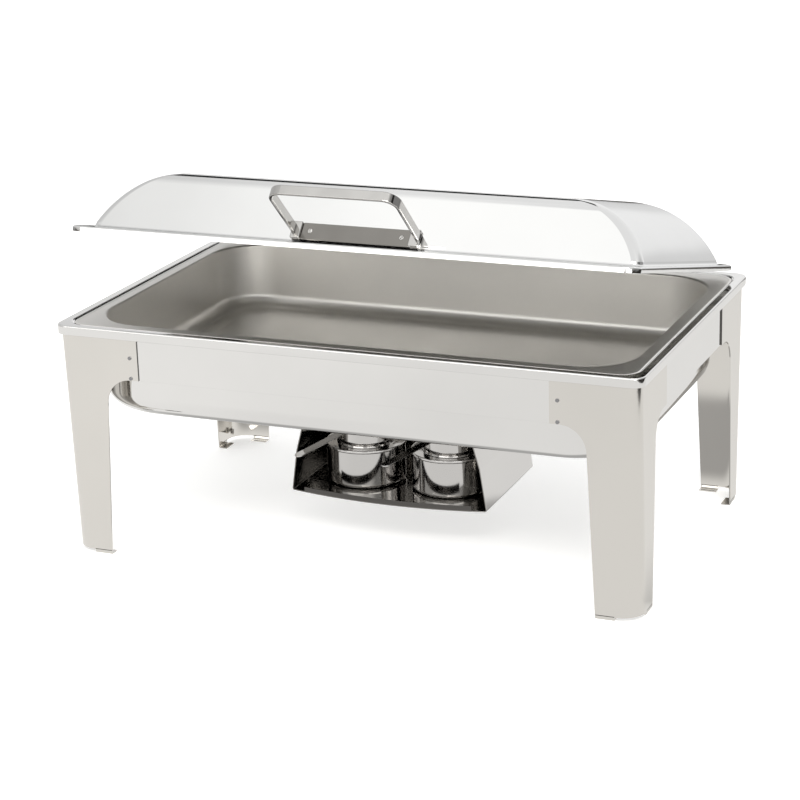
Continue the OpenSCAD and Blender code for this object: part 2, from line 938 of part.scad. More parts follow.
module burner_top(side) {
  shoulder_z = cup_top_z - shoulder_drop;
  inside_r = cup_r - cup_t - top_fit;
  placed() color(polished)
    at_burner(side)
      difference() {
        union() {
          translate([0, 0, shoulder_z])
            cylinder(r = inside_r, h = cup_t);
          translate([0, 0, shoulder_z])
            cylinder(r = neck_r, h = neck_top_z - shoulder_z);
        }
        translate([0, 0, shoulder_z - cut])
          cylinder(r = neck_r - cup_t, h = neck_top_z - shoulder_z - cup_t + cut);
        translate([0, 0, neck_top_z - 2 * cup_t])
          linear_extrude(4 * cup_t)
            windows(0);
        translate([0, 0, neck_top_z - 2 * cup_t])
          cylinder(r = rivet_r, h = 4 * cup_t);
      }
}

// Turning shutter: a windowed disc and a flat lever, bent down past the neck, that reaches out
// in front of the tray.
module burner_shutter(side) {
  half_step = 180 / window_count;
  length = lever_reach - lever_knee;
  slope = atan(lever_drop / length);
  placed() color(polished)
    at_burner(side)
      rotate([0, 0, -90 - lever_turn])
        difference() {
          union() {
            translate([0, 0, shutter_z])
              cylinder(r = neck_r - shutter_rim, h = shutter_t);
            translate([lever_root, -lever_w / 2, shutter_z])
              cube([lever_knee + shutter_t / 2 - lever_root, lever_w, shutter_t]);
            translate([lever_knee, 0, shutter_z])
              rotate([0, slope, 0])
                linear_extrude(shutter_t)
                  union() {
                    translate([0, -lever_w / 2])
                      square([length - lever_w / 2, lever_w]);
                    translate([length - lever_w / 2, 0])
                      circle(lever_w / 2);
                  }
          }
          translate([0, 0, shutter_z - cut])
            cylinder(r = rivet_bore_r, h = 3 * cut);
          translate([0, 0, shutter_z - cut])
            linear_extrude(3 * cut)
              windows(half_step + 90 + lever_turn);
        }
}

module shutter_rivets() {
  placed() color(satin)
    for (side = sides())
      at_burner(side)
        union() {
          translate([0, 0, neck_top_z - cup_t - rivet_under])
            cylinder(r = rivet_r, h = cup_t + rivet_under + shutter_gap + shutter_t + rivet_play);
          translate([0, 0, shutter_z + shutter_t + rivet_play])
            intersection() {
              translate([0, 0, -rivet_cap_sink])
                sphere(rivet_cap_ball);
              cylinder(r = rivet_cap_r, h = rivet_cap_sink);
            }
        }
}

rim_frame();
placed_leg(-1, -1);  // leg_front_left
placed_leg(1, -1);  // leg_front_right
placed_leg(-1, 1);  // leg_back_left
placed_leg(1, 1);  // leg_back_right
leg_rivets();
water_pan();
food_pan();
tray_rail(-1);  // tray_rail_left
tray_rail(1);  // tray_rail_right
hinge_bracket(-1);  // hinge_bracket_left
hinge_bracket(1);  // hinge_bracket_right
bracket_rivets();
hinge_pin(-1);  // hinge_pin_left
hinge_pin(1);  // hinge_pin_right
pin_clips();
friction_washers();
lid_cover();
handle_base_plate();
lid_handle();
handle_studs();
handle_cap_nuts();
lid_hinge_leaf(-1);  // lid_hinge_leaf_left
lid_hinge_leaf(1);  // lid_hinge_leaf_right
leaf_rivets();
burner_tray();
burner_cup(-1);  // burner_cup_left
burner_cup(1);  // burner_cup_right
burner_top(-1);  // burner_top_left
burner_top(1);  // burner_top_right
burner_shutter(-1);  // burner_shutter_left
burner_shutter(1);  // burner_shutter_right
shutter_rivets();
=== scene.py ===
import math

import bpy
from mathutils import Matrix, Vector


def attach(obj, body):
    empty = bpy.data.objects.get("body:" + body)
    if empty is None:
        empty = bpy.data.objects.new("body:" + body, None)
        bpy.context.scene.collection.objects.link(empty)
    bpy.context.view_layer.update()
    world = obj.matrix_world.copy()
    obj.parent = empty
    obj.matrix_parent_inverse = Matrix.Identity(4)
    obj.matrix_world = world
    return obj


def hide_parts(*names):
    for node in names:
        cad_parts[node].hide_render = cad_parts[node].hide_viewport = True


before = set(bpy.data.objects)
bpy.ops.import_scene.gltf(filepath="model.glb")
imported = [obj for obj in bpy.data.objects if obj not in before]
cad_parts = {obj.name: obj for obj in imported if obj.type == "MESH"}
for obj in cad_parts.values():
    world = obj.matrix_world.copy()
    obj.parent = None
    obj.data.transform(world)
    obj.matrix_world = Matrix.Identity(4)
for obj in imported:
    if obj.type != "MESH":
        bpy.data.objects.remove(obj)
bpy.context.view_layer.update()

# Every size is in millimetres until it becomes a vertex; the part's own sizes are repeated here.
MM = 0.001
SHIFT_Y = -10.0
RIM_X, RIM_Y, RIM_Z, RIM_R = 275.0, 171.5, 218.0, 11.0
LIP_H, LIP_T = 9.0, 1.2
STRIP_W, GROOVE_W = 8.0, 1.8
LEG_X, LEG_Y, LEG_T = 271.8, 168.3, 1.2
APRON_T, APRON_Z = 1.0, 171.0
FLANGE_X, FLANGE_R = 265.2, 16.0
OPEN_X, OPEN_Y, OPEN_R = 252.5, 149.0, 48.0
PAN_T = 0.8
LEDGE_Z, LEDGE_T, LEDGE_W = 215.0, 1.0, 18.1
FOOD_TOP, FOOD_BOTTOM = 217.0, 153.0
WATER_TOP, WATER_BOTTOM = 216.0, 130.0
WATER_GAP = 3.2
AXIS_Y, AXIS_Z = 184.0, 228.0
LID_ANGLE = math.radians(14.0)
LID_X, LID_Y, LID_R = 264.4, 160.9, 14.0
LID_Z, LID_TOP = 217.3, 222.5
DOME_X, DOME_Y, DOME_TOP, DOME_R, CREASE_R = 258.8, 129.0, 275.0, 81.0, 20.0
LEAN = math.radians(30.0)


def new_object(name, verts, faces, material):
    """A smooth-shaded mesh from points in millimetres, whose Y is measured from the rim's centre."""
    mesh = bpy.data.meshes.new(name)
    mesh.from_pydata([(v[0] * MM, (v[1] + SHIFT_Y) * MM, v[2] * MM) for v in verts], [], faces)
    mesh.validate()
    mesh.update()
    obj = bpy.data.objects.new(name, mesh)
    bpy.context.scene.collection.objects.link(obj)
    mesh.materials.append(material)
    for poly in mesh.polygons:
        poly.use_smooth = True
    return obj


def soften(obj, width, segments=2, angle=35.0):
    """Rounds the edges sharper than an angle, the width in millimetres."""
    bevel = obj.modifiers.new("edge", "BEVEL")
    bevel.width = width * MM
    bevel.segments = segments
    bevel.limit_method = "ANGLE"
    bevel.angle_limit = math.radians(angle)
    bevel.harden_normals = False
    even_normals(obj)
    return obj


def even_normals(obj):
    """Shades flat faces flat, so that only the rounded edges between them bend the light."""
    weighted = obj.modifiers.new("normals", "WEIGHTED_NORMAL")
    weighted.mode = "FACE_AREA"
    weighted.weight = 50
    weighted.keep_sharp = True


def fillet_path(points, segments=6):
    """Points are (d, z, r, fillet); returns (d, z, r) with every corner rounded by its fillet."""
    out = []
    count = len(points)
    for i, (d, z, r, f) in enumerate(points):
        if f <= 0 or i in (0, count - 1):
            out.append((d, z, r))
            continue
        p = Vector((d, z))
        a = Vector(points[i - 1][:2]) - p
        b = Vector(points[i + 1][:2]) - p
        la, lb = a.length, b.length
        a.normalize()
        b.normalize()
        half = math.acos(max(-1.0, min(1.0, a.dot(b)))) / 2
        reach = min(f / math.tan(half), la * 0.499, lb * 0.499)
        f = reach * math.tan(half)
        centre = p + (a + b).normalized() * (f / math.sin(half))
        start, end = p + a * reach - centre, p + b * reach - centre
        turn = math.atan2(start.x * end.y - start.y * end.x, start.dot(end))
        for k in range(segments + 1):
            t = turn * k / segments
            c, s = math.cos(t), math.sin(t)
            q = centre + Vector((start.x * c - start.y * s, start.x * s + start.y * c))
            out.append((q.x, q.y, r))
    return out


def rounded_loop(x, y, r, steps):
    """Points round a rectangle of half sizes x and y, from where its +X side meets the first corner."""
    pts = []
    for cx, cy, start in ((x - r, y - r, 0), (r - x, y - r, 90), (r - x, r - y, 180), (x - r, r - y, 270)):
        for k in range(steps + 1):
            t = math.radians(start + 90 * k / steps)
            pts.append((cx + r * math.cos(t), cy + r * math.sin(t)))
    return pts


def loop_points(loops, steps):
    return [(px, py, z) for x, y, r, z in loops for px, py in rounded_loop(x, y, r, steps)]


def band(i, j, n):
    """Faces between row i and row j of n points each."""
    return [(i * n + k, i * n + (k + 1) % n, j * n + (k + 1) % n, j * n + k) for k in range(n)]


def loft(name, loops, material, steps, ring):
    """Joins rounded rectangles (x, y, r, z) into a closed ring, or into a skin with both ends capped."""
    n, rows = 4 * (steps + 1), len(loops)
    faces = []
    for i in range(rows if ring else rows - 1):
        faces += band(i, (i + 1) % rows, n)
    if not ring:
        faces.append(tuple(range(n))[::-1])
        faces.append(tuple(range((rows - 1) * n, rows * n)))
    obj = new_object(name, loop_points(loops, steps), faces, material)
    even_normals(obj)
    return obj


def offset_loops(base_x, base_y, path):
    """Turns a path of (outward offset, z, corner radius) into rounded rectangles."""
    return [(base_x + d, base_y + d, r, z) for d, z, r in path]


def revolve(name, path, centre, material, steps=96):
    """Turns a closed path of fillet_path's points (r, z, not used) about the upright line through centre."""
    profile = [(r, z) for r, z, _ in path]
    verts, faces = [], []
    rows = len(profile)
    for k in range(steps):
        t = 2 * math.pi * k / steps
        verts += [(centre[0] + r * math.cos(t), centre[1] + r * math.sin(t), z) for r, z in profile]
    for k in range(steps):
        m = (k + 1) % steps
        for i in range(rows):
            j = (i + 1) % rows
            if profile[i][0] == 0 and profile[j][0] == 0:
                continue
            faces.append((k * rows + i, m * rows + i, m * rows + j, k * rows + j))
    obj = new_object(name, verts, faces, material)
    weld = obj.modifiers.new("weld", "WELD")
    weld.merge_threshold = 0.01 * MM
    even_normals(obj)
    return obj


def on_lid(v):
    """Turns a point of the shut lid into the resting, open pose."""
    y, z = v[1] - AXIS_Y, v[2] - AXIS_Z
    c, s = math.cos(LID_ANGLE), math.sin(LID_ANGLE)
    return (v[0], AXIS_Y + y * c + z * s, AXIS_Z - y * s + z * c)


# ---------------------------------------------------------------- materials

def map_range(tree, value, low, high, out_low=0.0, out_high=1.0, kind="LINEAR"):
    node = tree.nodes.new("ShaderNodeMapRange")
    node.interpolation_type = kind
    for key, v in (("From Min", low), ("From Max", high), ("To Min", out_low), ("To Max", out_high)):
        node.inputs[key].default_value = v
    tree.links.new(value, node.inputs["Value"])
    return node.outputs["Result"]


def math_node(tree, operation, *values):
    node = tree.nodes.new("ShaderNodeMath")
    node.operation = operation
    for value, socket in zip(values, node.inputs):
        tree.links.new(value, socket)
    return node.outputs[0]


SMUDGE_TONE = 0.965


def steel(name, color, rough, spread, wave, grain, stretch=(1, 1, 1), aniso=0.0):
    """Bare steel: sheet waviness, fine polishing grain, patchy sheen and faint smudges, all procedural.

    wave and grain are (depth in metres, scale) of the two bumps; stretch draws the grain out into brushing.
    """
    mat = bpy.data.materials.new(name)
    mat.use_nodes = True
    nodes, links = mat.node_tree.nodes, mat.node_tree.links
    shader = nodes["Principled BSDF"]
    shader.inputs["Metallic"].default_value = 1.0
    shader.inputs["Anisotropic"].default_value = aniso
    coord = nodes.new("ShaderNodeTexCoord")
    mapping = nodes.new("ShaderNodeMapping")
    mapping.inputs["Scale"].default_value = stretch
    links.new(coord.outputs["Object"], mapping.inputs["Vector"])

    def noise(vector, scale, detail, roughness=0.5):
        tex = nodes.new("ShaderNodeTexNoise")
        tex.inputs["Scale"].default_value = scale
        tex.inputs["Detail"].default_value = detail
        tex.inputs["Roughness"].default_value = roughness
        links.new(vector, tex.inputs["Vector"])
        return tex.outputs["Fac"]

    def bump(depth, height):
        node = nodes.new("ShaderNodeBump")
        node.inputs["Strength"].default_value = 1.0
        node.inputs["Distance"].default_value = depth
        links.new(height, node.inputs["Height"])
        return node

    patches = noise(coord.outputs["Object"], 14.0, 4.0)
    sheen = map_range(mat.node_tree, patches, 0.3, 0.7, rough - spread, rough + spread)
    links.new(sheen, shader.inputs["Roughness"])
    tint = nodes.new("ShaderNodeMix")
    tint.data_type = "RGBA"
    tint.inputs["A"].default_value = (*[c * SMUDGE_TONE for c in color], 1)
    tint.inputs["B"].default_value = (*color, 1)
    smudge = noise(coord.outputs["Object"], 5.0, 6.0, 0.62)
    links.new(map_range(mat.node_tree, smudge, 0.35, 0.6), tint.inputs["Factor"])
    links.new(tint.outputs["Result"], shader.inputs["Base Color"])

    sheet = bump(wave[0], noise(coord.outputs["Object"], wave[1], 1.0))
    fine = bump(grain[0], noise(mapping.outputs["Vector"], grain[1], 3.0))
    links.new(sheet.outputs["Normal"], fine.inputs["Normal"])
    links.new(fine.outputs["Normal"], shader.inputs["Normal"])
    return mat


POLISH_GRAIN = (0.0000012, 900.0)
FOLDED_GRAIN = (0.0000015, 800.0)
FOLDED_WAVE = (0.0010, 12.0)
SMALL_WAVE = (0.0002, 20.0)
DULL_GRAIN = (0.000003, 700.0)
POLISHED = steel("polished_steel", (0.79, 0.785, 0.775), 0.07, 0.025, (0.0012, 7.0), POLISH_GRAIN)
LID_STEEL = steel("lid_steel", (0.80, 0.80, 0.795), 0.08, 0.02, (0.0009, 6.0), POLISH_GRAIN)
LEG_STEEL = steel("leg_steel", (0.73, 0.71, 0.675), 0.08, 0.025, (0.0010, 6.0), POLISH_GRAIN)
SATIN = steel("satin_steel", (0.86, 0.845, 0.815), 0.40, 0.03, (0.0005, 8.0), (0.000004, 500.0),
              (1, 12, 12), 0.3)
# The tray's inside and back plate take a dark copy of the tray steel: painted shade under the water pan.
TRAY_PAINTED_SHADE = steel("tray_inner_painted_shade", (0.36, 0.35, 0.335), 0.12, 0.03, FOLDED_WAVE, FOLDED_GRAIN)
TRAY_STEEL = steel("tray_steel", (0.70, 0.69, 0.68), 0.09, 0.03, FOLDED_WAVE, FOLDED_GRAIN)
# The tray's lip is coloured near black: painted shade at the tray's front, under the pan.
LIP_PAINTED_SHADE = steel("tray_lip_painted_shade", (0.11, 0.105, 0.10), 0.14, 0.03, FOLDED_WAVE, FOLDED_GRAIN)
# Near-black, dull steel: painted shadow for the gaps at the leg plates' cut ends.
SEAM_PAINTED_SHADOW = steel("seam_painted_shadow", (0.13, 0.127, 0.122), 0.35, 0.05, SMALL_WAVE, DULL_GRAIN)
# The handle takes a darker copy of the polished steel: painted shade, so its arms read dark.
HANDLE_PAINTED_SHADE = steel("handle_painted_shade", (0.52, 0.51, 0.495), 0.09, 0.03, (0.0010, 30.0), (0.0000015, 700.0))
# The lid's underside takes a darker copy of the lid steel: painted shade inside the lid.
LID_PAINTED_SHADE = steel("lid_inner_painted_shade", (0.44, 0.435, 0.42), 0.22, 0.04, FOLDED_WAVE, (0.0000020, 700.0))
DARK = steel("dark_steel", (0.30, 0.30, 0.31), 0.28, 0.06, SMALL_WAVE, DULL_GRAIN)
PLATE_STEEL = steel("plate_steel", (0.23, 0.22, 0.205), 0.16, 0.04, (0.0006, 30.0), (0.000003, 600.0),
                    (1, 10, 10), 0.2)
CUP_STEEL = steel("cup_steel", (0.62, 0.61, 0.60), 0.10, 0.03, (0.0006, 15.0), FOLDED_GRAIN)


def show(obj, node, body):
    """Puts a visual piece in the place of a CAD node, on that node's body, and hides the node."""
    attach(obj, body)
    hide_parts(node)


# ---------------------------------------------------------------- stand

def build_rim():
    r0, r1 = RIM_R, FLANGE_R + GROOVE_W
    low = RIM_Z - LIP_H
    path = fillet_path([
        (0, low + 0.6, r0, 0),
        (0, RIM_Z, r0, 1.4),
        (-STRIP_W, RIM_Z - 0.5, r1, 0.7),
        (-STRIP_W, LEDGE_Z, r1, 0.5),
        (-LEDGE_W, LEDGE_Z, OPEN_R, 0),
        (-LEDGE_W, LEDGE_Z - LEDGE_T, OPEN_R, 0),
        (-STRIP_W - 1, LEDGE_Z - LEDGE_T, r1, 0),
        (-STRIP_W - 1, RIM_Z - 1, r1, 0),
        (-LIP_T - 3, RIM_Z - 1, r0, 0),
        (-LIP_T, RIM_Z - 2, r0, 0),
        (-LIP_T, low + 0.3, r0, 0),
        (-0.6, low, r0, 0),
    ], 5)
    rim = loft("rim_sheet", offset_loops(RIM_X, RIM_Y, path), POLISHED, 14, ring=True)
    face, back = LEG_X - LEG_T - RIM_X, LEG_X - LEG_T - APRON_T - RIM_X
    path = [
        (face, APRON_Z + 0.3, r0),
        (face, RIM_Z - 1.2, r0),
        (back, RIM_Z - 1.2, r0),
        (back, APRON_Z + 0.3, r0),
        (face - 0.7, APRON_Z, r0),
        (face - 0.3, APRON_Z, r0),
    ]
    apron = loft("rim_apron", offset_loops(RIM_X, RIM_Y, path), POLISHED, 10, ring=True)
    for obj in (rim, apron):
        show(obj, "rim_frame", "stand")


LEG_W_TOP, LEG_W_NECK, LEG_W_FOOT = 78.5, 46.0, 39.0
LEG_R_TOP, LEG_R_FOOT = 9.0, 20.0
LEG_FILLET, FOOT_GAP, TAB_W, TAB_D, TAB_T = 24.0, 3.5, 17.0, 9.0, 1.1


def leg_width(z):
    """Reach of a leg's flange from the corner: tapered, then a concave shoulder, then the top plate."""
    arc_z = APRON_Z - LEG_FILLET
    if z <= arc_z:
        return LEG_W_FOOT + (LEG_W_NECK - LEG_W_FOOT) * z / arc_z
    if z < APRON_Z:
        return LEG_W_NECK + LEG_FILLET - math.sqrt(max(LEG_FILLET ** 2 - (z - arc_z) ** 2, 0))
    return LEG_W_TOP


def leg_rows(zs, top):
    """Two rows of points at each height, the outer face and the inner one, round the folded corner."""
    flat, arc = 8, 14
    rows = []
    # The shoulder's arc ends just under the apron, and the top plate starts there with a step.
    for z in zs:
        w = leg_width(z) if z != zs[-4] else LEG_W_NECK + LEG_FILLET
        r = LEG_R_FOOT + (LEG_R_TOP - LEG_R_FOOT) * z / top
        for depth in (0.0, LEG_T):
            q = r - depth
            turns = [math.radians(90 * k / arc) for k in range(arc + 1)]
            row = [(w + (r - w) * k / flat, depth) for k in range(flat)]
            row += [(r - q * math.sin(t), r - q * math.cos(t)) for t in turns]
            row += [(depth, r + (w - r) * k / flat) for k in range(1, flat + 1)]
            rows.append([(x, y, z) for x, y in row])
    return rows


def leg_faces(levels, n):
    """Faces of the folded sheet; at every level the two end faces of the flanges come last."""
    outer = lambda i, k: 2 * i * n + k
    inner = lambda i, k: (2 * i + 1) * n + k
    last, top = n - 1, levels - 1
    faces = []
    for i in range(top):
        for k in range(last):
            faces.append((outer(i, k), outer(i + 1, k), outer(i + 1, k + 1), outer(i, k + 1)))
            faces.append((inner(i, k), inner(i, k + 1), inner(i + 1, k + 1), inner(i + 1, k)))
        faces.append((outer(i, 0), inner(i, 0), inner(i + 1, 0), outer(i + 1, 0)))
        faces.append((outer(i, last), outer(i + 1, last), inner(i + 1, last), inner(i, last)))
    for k in range(last):
        faces.append((outer(0, k), outer(0, k + 1), inner(0, k + 1), inner(0, k)))
        faces.append((outer(top, k), inner(top, k), inner(top, k + 1), outer(top, k + 1)))
    return faces


def build_leg(node, side, end):
    arc_z, top = APRON_Z - LEG_FILLET, RIM_Z - LIP_H + 1.5
    zs = [FOOT_GAP + (arc_z - FOOT_GAP) * k / 14 for k in range(15)]
    zs += [arc_z + LEG_FILLET * math.sin(math.radians(90 * k / 16)) for k in range(1, 16)]
    zs += [APRON_Z - 0.01, APRON_Z, (APRON_Z + top) / 2, top]
    rows = leg_rows(zs, top)
    n, levels = len(rows[0]), len(zs)
    verts = [v for row in rows for v in row]
    faces = leg_faces(levels, n)
    # The foot of each flange ends in a tab folded inwards.
    section = fillet_path([(0.0, FOOT_GAP + 0.6, 0, 0), (0.0, 0.0, 0, 1.6), (TAB_D, 0.0, 0, 0)], 5)
    section += fillet_path([(TAB_D, TAB_T, 0, 0), (LEG_T, TAB_T, 0, 0.5), (LEG_T, FOOT_GAP + 0.6, 0, 0)], 3)
    m = len(section)
    for flip in (False, True):
        base = len(verts)
        for u in (LEG_W_FOOT - TAB_W, LEG_W_FOOT):
            verts += [(d, u, z) if flip else (u, d, z) for d, z, _ in section]
        for k in range(m):
            j = (k + 1) % m
            quad = (base + k, base + j, base + m + j, base + m + k)
            faces.append(quad if flip else quad[::-1])
        faces += [tuple(range(base, base + m)), tuple(range(base + m, base + 2 * m))]
    placed = [(side * (LEG_X - x), end * (LEG_Y - y), z) for x, y, z in verts]
    if side * end < 0:
        faces = [f[::-1] for f in faces]
    obj = new_object(node + "_sheet", placed, faces, LEG_STEEL)
    # The cut ends of the top plates are painted dark as seams against the apron: a painted shadow in the
    # gap.
    obj.data.materials.append(SEAM_PAINTED_SHADOW)
    strip = 2 * n
    for i in range(levels - 4, levels - 1):
        for k in (strip - 2, strip - 1):
            obj.data.polygons[i * strip + k].material_index = 1
    soften(obj, 0.12, 2, 50)
    show(obj, node, "stand")


def build_pans():
    flange, floor_in = FLANGE_X - OPEN_X, -0.9 * OPEN_R
    food = fillet_path([
        (floor_in, FOOD_BOTTOM + 1.4, 8, 0),
        (-30.0, FOOD_BOTTOM + 1.4, 22, 0),
        (-27.5, FOOD_BOTTOM + PAN_T, 24, 1.5),
        (0.0, FOOD_BOTTOM + PAN_T, OPEN_R, 13.0),
        (0.0, FOOD_TOP, OPEN_R, 1.8),
        (flange - 3.0, FOOD_TOP - 0.25, FLANGE_R, 2.0),
        (flange - 2.1, FOOD_TOP, FLANGE_R, 0.9),
        (flange - 0.7, FOOD_TOP, FLANGE_R, 0.9),
        (flange, FOOD_TOP - 0.7, FLANGE_R, 0.6),
        (flange, FOOD_TOP - PAN_T, FLANGE_R, 0.2),
        (PAN_T, FOOD_TOP - PAN_T, OPEN_R + PAN_T, 1.2),
        (PAN_T, FOOD_BOTTOM, OPEN_R + PAN_T, 13.8),
        (floor_in, FOOD_BOTTOM, 8, 0),
    ], 8)
    obj = loft("food_pan_sheet", offset_loops(OPEN_X, OPEN_Y, food), SATIN, 20, ring=False)
    show(obj, "food_pan", "stand")
    wx, wy, wr = OPEN_X + WATER_GAP, OPEN_Y + WATER_GAP, OPEN_R + WATER_GAP
    flange = FLANGE_X - wx
    water = fillet_path([
        (-45.0, WATER_BOTTOM + PAN_T, 10, 0),
        (-PAN_T, WATER_BOTTOM + PAN_T, wr, 19.2),
        (-PAN_T, WATER_TOP, wr, 1.0),
        (flange, WATER_TOP, FLANGE_R, 0.3),
        (flange, WATER_TOP - PAN_T, FLANGE_R, 0.3),
        (0.0, WATER_TOP - PAN_T, wr, 1.5),
        (0.0, WATER_BOTTOM, wr, 20.0),
        (-45.0, WATER_BOTTOM, 10, 0),
    ], 10)
    obj = loft("water_pan_sheet", offset_loops(wx, wy, water), POLISHED, 20, ring=False)
    show(obj, "water_pan", "stand")


# ---------------------------------------------------------------- lid

LID_T, COVE, HIP = 1.0, 3.0, 9.0


def dome_half_x(z, inset):
    """Half length of the dome at a height; its ends are arcs."""
    r = DOME_R - inset
    centre = DOME_TOP - DOME_R
    flat = DOME_X - math.sqrt(DOME_R ** 2 - (LID_TOP - centre) ** 2)
    return flat + math.sqrt(max(r * r - (z - centre) ** 2, 0))


def dome_half_y(z, inset):
    """Half depth of the dome at a height: leaning panels that turn into the top over a rounded crease."""
    top = DOME_TOP - inset
    side_y = DOME_Y - inset / math.cos(LEAN)
    edge = CREASE_R - inset
    top_y = side_y - (top - LID_TOP) * math.tan(LEAN)
    tangent = edge * math.tan((math.pi / 2 - LEAN) / 2)
    drop = tangent * math.cos(LEAN)
    if z <= top - drop:
        return side_y - (z - LID_TOP) * math.tan(LEAN)
    h = z - (top - edge)
    return top_y - tangent + math.sqrt(max(edge * edge - h * h, 0))


def dome_rows(inset, low):
    """Heights of the dome's rows above low: equal turns of its end arcs and of its crease."""
    top = DOME_TOP - inset
    r, edge = DOME_R - inset, CREASE_R - inset
    zs = {round(top - r + r * math.sin(math.radians(20 + 70 * k / 40)), 4) for k in range(41)}
    zs |= {round(top - edge * (1 - math.sin(math.radians(30 + 60 * k / 16))), 4) for k in range(17)}
    zs |= {low + 0.5 * k for k in range(1, 4)}
    return [z for z in sorted(zs) if z > low]


def dome_loop(z, inset, corner):
    return (dome_half_x(z, inset), dome_half_y(z, inset), corner, z)


def lid_outside():
    """From the turned-down edge over the flange and the cove up to the dome's top."""
    path = fillet_path([(0, LID_Z + 0.3, LID_R, 0), (0, LID_TOP, LID_R, 1.6), (-4, LID_TOP, LID_R, 0)], 5)
    loops = offset_loops(LID_X, LID_Y, path)
    low = LID_TOP + COVE
    x0, y0 = dome_half_x(low, 0), dome_half_y(low, 0)
    for k in range(6):
        t = math.radians(90 * k / 6)
        out = COVE * (1 - math.sin(t))
        loops.append((x0 + out, y0 + out, HIP + out, LID_TOP + COVE * (1 - math.cos(t))))
    return loops + [dome_loop(z, 0, HIP) for z in dome_rows(0, low - 0.01)]


def lid_inside():
    """The way back down from the dome's top, one sheet thickness further in."""
    low = LID_TOP - LID_T
    loops = [dome_loop(z, LID_T, HIP - 1) for z in dome_rows(LID_T, LID_TOP - 0.5)[::-1]]
    loops.append(dome_loop(low, LID_T, HIP))
    return loops + offset_loops(LID_X, LID_Y, [
        (-LID_T - 0.6, low, LID_R - 1),
        (-LID_T, low - 0.6, LID_R - 1),
        (-LID_T, LID_Z + 0.3, LID_R - 1),
        (-0.7, LID_Z, LID_R - 1),
        (-0.3, LID_Z, LID_R),
    ])


def build_lid():
    outside = lid_outside()
    loops = outside + lid_inside()
    steps = 8
    n, rows, cut = 4 * (steps + 1), len(loops), len(outside) - 1
    faces = []
    for i in range(rows):
        if i != cut:
            faces += band(i, (i + 1) % rows, n)
    faces.append(tuple(range(cut * n, (cut + 1) * n)))
    faces.append(tuple(range((cut + 1) * n, (cut + 2) * n))[::-1])
    verts = [on_lid(v) for v in loop_points(loops, steps)]
    obj = new_object("lid_sheet", verts, faces, LID_STEEL)
    # The rows inside the dome are painted dark as shade; the turned-down edge keeps the lid steel.
    obj.data.materials.append(LID_PAINTED_SHADE)
    for face in obj.data.polygons:
        rows_used = {v // n for v in face.vertices}
        if min(rows_used) > cut and max(rows_used) < rows - 4:
            face.material_index = 1
    even_normals(obj)
    show(obj, "lid_cover", "lid")


# ---------------------------------------------------------------- lid handle

HANDLE_HALF, HANDLE_REACH, HANDLE_RISE = 60.0, 67.0, math.radians(29.0)
BAR_W, BAR_T, BAR_EDGE, BEND_R, ROOT_IN = 9.0, 3.0, 0.8, 14.0, 3.0
PLATE_H, PLATE_LIFT, FOOT_W, FOOT_T = 18.0, 1.5, 9.0, 4.0
PLATE_GAP, PLATE_OUT, FOOT_OUT = 0.1, (0.15, 1.6), (0.12, FOOT_T)
BOX_FACES = [(0, 3, 2, 1), (4, 5, 6, 7), (0, 1, 5, 4), (1, 2, 6, 5), (2, 3, 7, 6), (3, 0, 4, 7)]


def panel_point(x, out, up):
    """A point on the shut lid's front panel: out of it, and up it from its foot."""
    y = DOME_Y + out * math.cos(LEAN) - up * math.sin(LEAN)
    z = LID_TOP + out * math.sin(LEAN) + up * math.cos(LEAN)
    return (x, -y, z)


def panel_box(name, xs, outs, material, edge):
    """A box on the front panel, as high as the plate, between two values of x and two of out."""
    ups = (PLATE_LIFT, PLATE_H)
    corners = [(xs[0], ups[0]), (xs[1], ups[0]), (xs[1], ups[1]), (xs[0], ups[1])]
    pts = [on_lid(panel_point(x, out, up)) for out in outs for x, up in corners]
    return soften(new_object(name, pts, BOX_FACES, material), edge, 3)


def handle_line():
    """The bar's centre line as (x, reach): an arm, a bend and half of the grip, then their mirror image."""
    mid, bend, corner = HANDLE_HALF - BAR_T / 2, BEND_R - BAR_T / 2, HANDLE_REACH - BEND_R
    line = [(-mid, -ROOT_IN + (corner + ROOT_IN) * k / 6) for k in range(6)]
    for k in range(15):
        t = math.radians(90 * k / 14)
        line.append((-mid + bend - bend * math.cos(t), corner + bend * math.sin(t)))
    line += [(x * (mid - bend), corner + bend) for x in (-0.5, 0.0)]
    return line + [(-x, reach) for x, reach in line[-2::-1]]


def build_bar():
    root = PLATE_H - BAR_W / 2
    arm_y = -DOME_Y + root * math.sin(LEAN) - BAR_W / 2
    arm_z = LID_TOP + root * math.cos(LEAN)
    c, s = math.cos(HANDLE_RISE), math.sin(HANDLE_RISE)
    line, section = handle_line(), rounded_loop(BAR_T / 2, BAR_W / 2, BAR_EDGE, 4)
    rows, m = len(line), len(section)
    verts, faces = [], []
    for i, (x, reach) in enumerate(line):
        a, b = Vector(line[max(i - 1, 0)]), Vector(line[min(i + 1, rows - 1)])
        along = (b - a).normalized()
        side = Vector((-along.y, along.x))
        for p, q in section:
            px, pt = x + side.x * p, reach + side.y * p
            verts.append(on_lid((px, arm_y - pt * c - q * s, arm_z + pt * s - q * c)))
    for i in range(rows - 1):
        for k in range(m):
            j = (k + 1) % m
            faces.append((i * m + k, (i + 1) * m + k, (i + 1) * m + j, i * m + j))
    faces.append(tuple(range(m)))
    faces.append(tuple(range((rows - 1) * m, rows * m))[::-1])
    # The bar's darker steel is painted shade.
    obj = new_object("handle_bar", verts, faces, HANDLE_PAINTED_SHADE)
    even_normals(obj)
    show(obj, "lid_handle", "lid")


